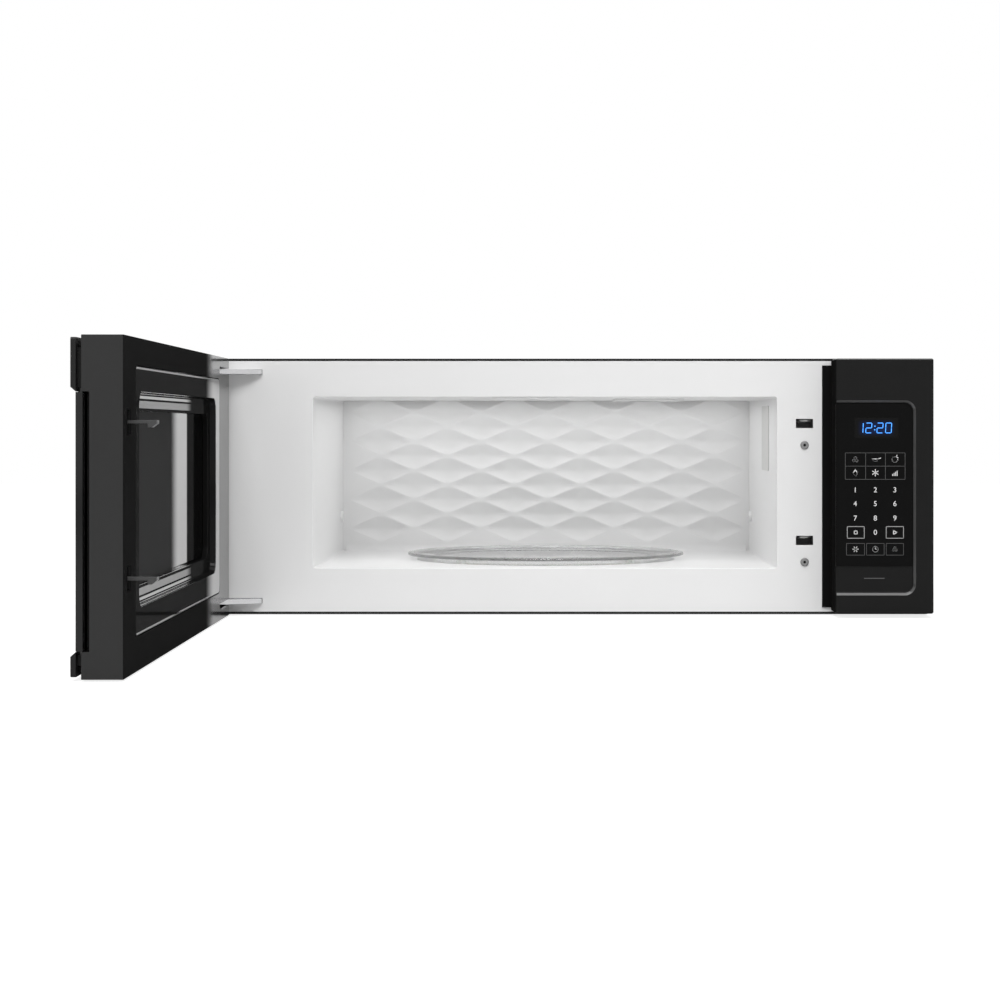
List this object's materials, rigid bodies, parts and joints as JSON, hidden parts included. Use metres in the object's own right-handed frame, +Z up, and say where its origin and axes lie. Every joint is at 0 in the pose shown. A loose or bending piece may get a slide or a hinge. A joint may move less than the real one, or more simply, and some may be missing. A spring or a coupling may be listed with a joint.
{
  "type": "over the range microwave",
  "caption": "Low wide over-the-range microwave with a side-hinged door, keypad panel, white cavity with a glass turntable, hood fan and grease filters; stored with its door open.",
  "frame": {"origin": "middle of the wall plate's back face, at half the cabinet's height", "axes": "+X to the right seen from the front, +Y into the wall, +Z up; the front faces -Y"},
  "size_m": [0.76, 1.0911, 0.268],
  "materials": {
    "black_enamel": "semi-gloss black baked enamel on steel sheet",
    "black_screw": "black oxide flush screws",
    "galvanised_steel": "galvanised steel sheet, dull spangle",
    "white_enamel": "gloss white epoxy enamel on steel sheet",
    "zinc_screw": "zinc-plated steel",
    "mica": "white-coated mica sheet",
    "white_plastic": "white heat-proof moulding, satin",
    "lamp_holder": "heat-proof lamp moulding",
    "plated_steel": "bright zinc-plated steel",
    "black_plastic": "black moulding, fine satin grain",
    "keypad_film": "black printed polyester film",
    "display_tint": "dark tinted window over a blue clock",
    "circuit_board": "green lacquered board",
    "dark_plastic": "dark glass-filled moulding",
    "motor_paint": "grey painted steel can",
    "filter_mesh": "layered aluminium mesh in an aluminium frame",
    "charcoal": "activated charcoal pad",
    "frosted_glass": "frosted glass",
    "aluminium_fins": "bare aluminium and zinc-plated steel",
    "laminated_steel": "varnished laminated steel",
    "enamelled_copper": "enamelled copper wire under tape",
    "aluminium_can": "drawn aluminium can",
    "black_rubber": "moulded rubber bush",
    "black_glass": "black-tinted tempered glass",
    "gloss_black": "high-gloss black moulding",
    "nylon": "natural nylon or acetal",
    "clear_pane": "smoked clear pane",
    "screen_steel": "punched steel with black enamel",
    "spring_steel": "spring steel",
    "clear_glass": "clear pressed glass",
    "aluminium_sheet": "thin aluminium flap",
    "grey_plastic": "grey fan moulding",
    "pale_plastic": "pale acetal lever"
  },
  "bodies": {
    "cabinet": {"cabinet_wrap": "black_enamel", "base_panel": "black_enamel", "base_screws": "black_screw", "rear_panel": "galvanised_steel", "wall_plate": "galvanised_steel", "faceplate": "white_enamel", "faceplate_screws": "zinc_screw", "cavity_shell": "white_enamel", "cavity_rear_wall": "white_enamel", "waveguide_cover": "mica", "cavity_lamp_cover": "white_plastic", "cavity_vent_cover": "white_plastic", "cavity_lamp": "lamp_holder", "turntable_motor": "plated_steel", "control_bezel": "black_plastic", "keypad_overlay": "keypad_film", "display_window": "display_tint", "control_board": "circuit_board", "panel_side_strip": "black_plastic", "hinge_brackets": "plated_steel", "interlock_housing": "dark_plastic", "door_switches": "dark_plastic", "duct_collar": "galvanised_steel", "blower_housing": "galvanised_steel", "blower_motor": "motor_paint", "grease_filters": "filter_mesh", "charcoal_filters": "charcoal", "cooktop_lamp_lenses": "frosted_glass", "cooktop_lamps": "lamp_holder", "waveguide": "galvanised_steel", "magnetron": "aluminium_fins", "transformer_core": "laminated_steel", "transformer_windings": "enamelled_copper", "capacitor": "aluminium_can", "high_voltage_diode": "dark_plastic", "cooling_fan_frame": "galvanised_steel", "cooling_fan_motor": "motor_paint", "mains_filter_board": "circuit_board", "cord_inlet": "black_rubber"},
    "door": {"door_bezel": "black_plastic", "door_glass": "black_glass", "door_pull_bar": "gloss_black", "door_body": "black_plastic", "hinge_bushes": "nylon", "door_inner_cover": "gloss_black", "door_inner_pane": "clear_pane", "door_screen_frame": "screen_steel"},
    "latch": {"latch_rail": "dark_plastic", "latch_spring": "spring_steel"},
    "turntable": {"glass_tray": "clear_glass", "turntable_coupler": "nylon"},
    "roller_carrier": {"roller_ring": "nylon"},
    "roller_one": {"roller_1": "nylon"},
    "roller_two": {"roller_2": "nylon"},
    "roller_three": {"roller_3": "nylon"},
    "damper": {"duct_damper": "aluminium_sheet"},
    "hood_fan": {"blower_wheel": "dark_plastic"},
    "cooling_fan": {"cooling_fan_blades": "grey_plastic"},
    "lever_upper": {"interlock_lever_upper": "pale_plastic"},
    "lever_lower": {"interlock_lever_lower": "pale_plastic"}
  },
  "joints": [
    {"name": "door_hinge", "type": "hinge", "parent": "cabinet", "child": "door", "pos_m": [-0.356, -0.455, 0], "axis": [0, 0, -1], "range_deg": [-89.5, 15]},
    {"name": "latch_slide", "type": "slide", "parent": "door", "child": "latch", "axis": [0, 0, 1], "range_m": [0, 0.003], "stiffness_N_per_m": 600, "springref_m": -0.004, "deforming": ["latch_spring"]},
    {"name": "turntable_spin", "type": "hinge", "parent": "cabinet", "child": "turntable", "pos_m": [-0.009, -0.243, -0.0844], "axis": [0, 0, 1], "continuous": true},
    {"name": "roller_ring_spin", "type": "hinge", "parent": "cabinet", "child": "roller_carrier", "pos_m": [-0.009, -0.243, -0.0917], "axis": [0, 0, 1], "continuous": true},
    {"name": "roller_one_spin", "type": "hinge", "parent": "roller_carrier", "child": "roller_one", "pos_m": [-0.009, -0.138, -0.0917], "axis": [0, 1, 0], "continuous": true},
    {"name": "roller_two_spin", "type": "hinge", "parent": "roller_carrier", "child": "roller_two", "pos_m": [-0.09993, -0.2955, -0.0917], "axis": [-0.866, -0.5, 0], "continuous": true},
    {"name": "roller_three_spin", "type": "hinge", "parent": "roller_carrier", "child": "roller_three", "pos_m": [0.08193, -0.2955, -0.0917], "axis": [0.866, -0.5, 0], "continuous": true},
    {"name": "damper_hinge", "type": "hinge", "parent": "cabinet", "child": "damper", "pos_m": [0, -0.012, 0.126], "axis": [-1, 0, 0], "range_deg": [0, 80]},
    {"name": "hood_fan_spin", "type": "hinge", "parent": "cabinet", "child": "hood_fan", "pos_m": [-0.297, -0.15, 0.004], "axis": [1, 0, 0], "continuous": true},
    {"name": "cooling_fan_spin", "type": "hinge", "parent": "cabinet", "child": "cooling_fan", "pos_m": [0.303, -0.112, 0], "axis": [0, 1, 0], "continuous": true},
    {"name": "interlock_lever_upper_tilt", "type": "hinge", "parent": "cabinet", "child": "lever_upper", "pos_m": [0.255, -0.392, 0.0669], "axis": [-1, 0, 0], "range_deg": [0, 6], "stiffness_Nm_per_rad": 0.02, "springref_deg": -8.59},
    {"name": "interlock_lever_lower_tilt", "type": "hinge", "parent": "cabinet", "child": "lever_lower", "pos_m": [0.255, -0.392, -0.0521], "axis": [-1, 0, 0], "range_deg": [0, 6], "stiffness_Nm_per_rad": 0.02, "springref_deg": -8.59}
  ],
  "couplings": [
    {"joint": "roller_ring_spin", "follows": "turntable_spin", "ratio": 0.5},
    {"joint": "roller_one_spin", "follows": "turntable_spin", "ratio": -7.5},
    {"joint": "roller_two_spin", "follows": "turntable_spin", "ratio": -7.5},
    {"joint": "roller_three_spin", "follows": "turntable_spin", "ratio": -7.5}
  ]
}
